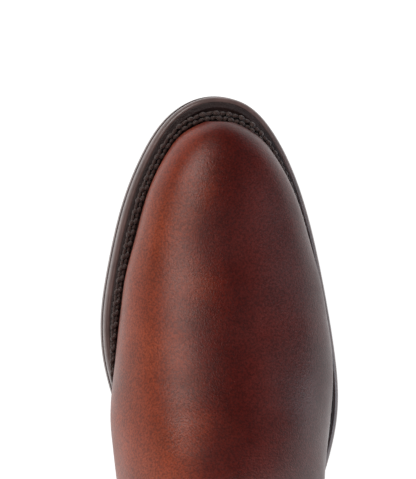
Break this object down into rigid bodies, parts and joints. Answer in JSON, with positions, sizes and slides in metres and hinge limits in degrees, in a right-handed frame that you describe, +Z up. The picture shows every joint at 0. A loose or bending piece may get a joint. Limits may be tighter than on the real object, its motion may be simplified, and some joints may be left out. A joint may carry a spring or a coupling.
{
  "type": "riding boot",
  "caption": "Tall leather riding boot with a storm-welted sole, braided welt stitch, stacked heel, side zip and a buckled top strap.",
  "frame": {"origin": "centre of the heel's ground face", "axes": "+Z up the leg, toe along -Y, +X to the inner (zip) side"},
  "size_m": [0.1241, 0.3153, 0.413],
  "materials": {
    "burnished_calf": "burnished, darker at the edges",
    "calf_edge": "burnished",
    "lining_leather": "natural",
    "stiffener": "woven",
    "sole_leather": "edge dyed and polished",
    "sole_rubber": "matt",
    "welt_leather": "grainy, dyed dark",
    "stitch_thread": "waxed, braided",
    "cork": "granular",
    "steel": "plain",
    "elastic": "ribbed",
    "zip_tape": "woven",
    "zip_metal": "antiqued",
    "buckle_metal": "antiqued",
    "webbing": "woven"
  },
  "bodies": {
    "boot": {"outsole": "sole_rubber", "midsole": "sole_leather", "storm_welt": "welt_leather", "heel_rand": "welt_leather", "gemming_rib": "stiffener", "cork_filler": "cork", "steel_shank": "steel", "insole": "lining_leather", "sock_liner": "lining_leather", "braided_stitch": "stitch_thread", "heel_nails": "steel", "heel_top_piece": "sole_rubber", "heel_lift_1": "sole_leather", "heel_lift_2": "sole_leather", "heel_lift_3": "sole_leather", "vamp": "burnished_calf", "counter_foxing": "burnished_calf", "leg_front": "burnished_calf", "leg_back": "burnished_calf", "elastic_gusset": "elastic", "top_binding": "calf_edge", "side_strip": "calf_edge", "back_stay": "calf_edge", "toe_puff": "stiffener", "vamp_interlining": "stiffener", "heel_counter": "stiffener", "shaft_interlining": "stiffener", "vamp_lining": "lining_leather", "leg_lining": "lining_leather", "back_pull_loop": "webbing", "zip_tape_front": "zip_tape", "zip_tape_back": "zip_tape", "zip_teeth_front": "zip_metal", "zip_teeth_back": "zip_metal", "zip_bottom_stop": "zip_metal", "zip_top_stops": "zip_metal", "strap_billet": "calf_edge", "strap_chape": "calf_edge", "strap_keeper": "calf_edge", "strap_rivets": "buckle_metal"},
    "zip_slider": {"zip_slider": "zip_metal"},
    "zip_puller": {"zip_puller": "zip_metal"},
    "buckle_frame": {"buckle_frame": "buckle_metal"},
    "buckle_prong": {"buckle_prong": "buckle_metal"},
    "buckle_roller": {"buckle_roller": "buckle_metal"}
  },
  "joints": [
    {"name": "zip_slide", "type": "slide", "parent": "boot", "child": "zip_slider", "axis": [-0.0567, 0, -0.9984], "range_m": [0, 0.25], "deforming": ["zip_teeth_front", "zip_teeth_back"]},
    {"name": "puller_hinge", "type": "hinge", "parent": "zip_slider", "child": "zip_puller", "pos_m": [0.05725, -0.018, 0.37951], "axis": [0, -1, 0], "range_deg": [0, 145]},
    {"name": "buckle_hinge", "type": "hinge", "parent": "boot", "child": "buckle_frame", "pos_m": [-0.05994, -0.00836, 0.362], "axis": [0, 0, -1], "range_deg": [0, 20]},
    {"name": "prong_hinge", "type": "hinge", "parent": "buckle_frame", "child": "buckle_prong", "pos_m": [-0.05994, -0.00836, 0.362], "axis": [0, 0, -1], "range_deg": [0, 20]},
    {"name": "roller_spin", "type": "hinge", "parent": "buckle_frame", "child": "buckle_roller", "pos_m": [-0.0607, -0.0262, 0.362], "axis": [0, 0, 1], "continuous": true}
  ]
}
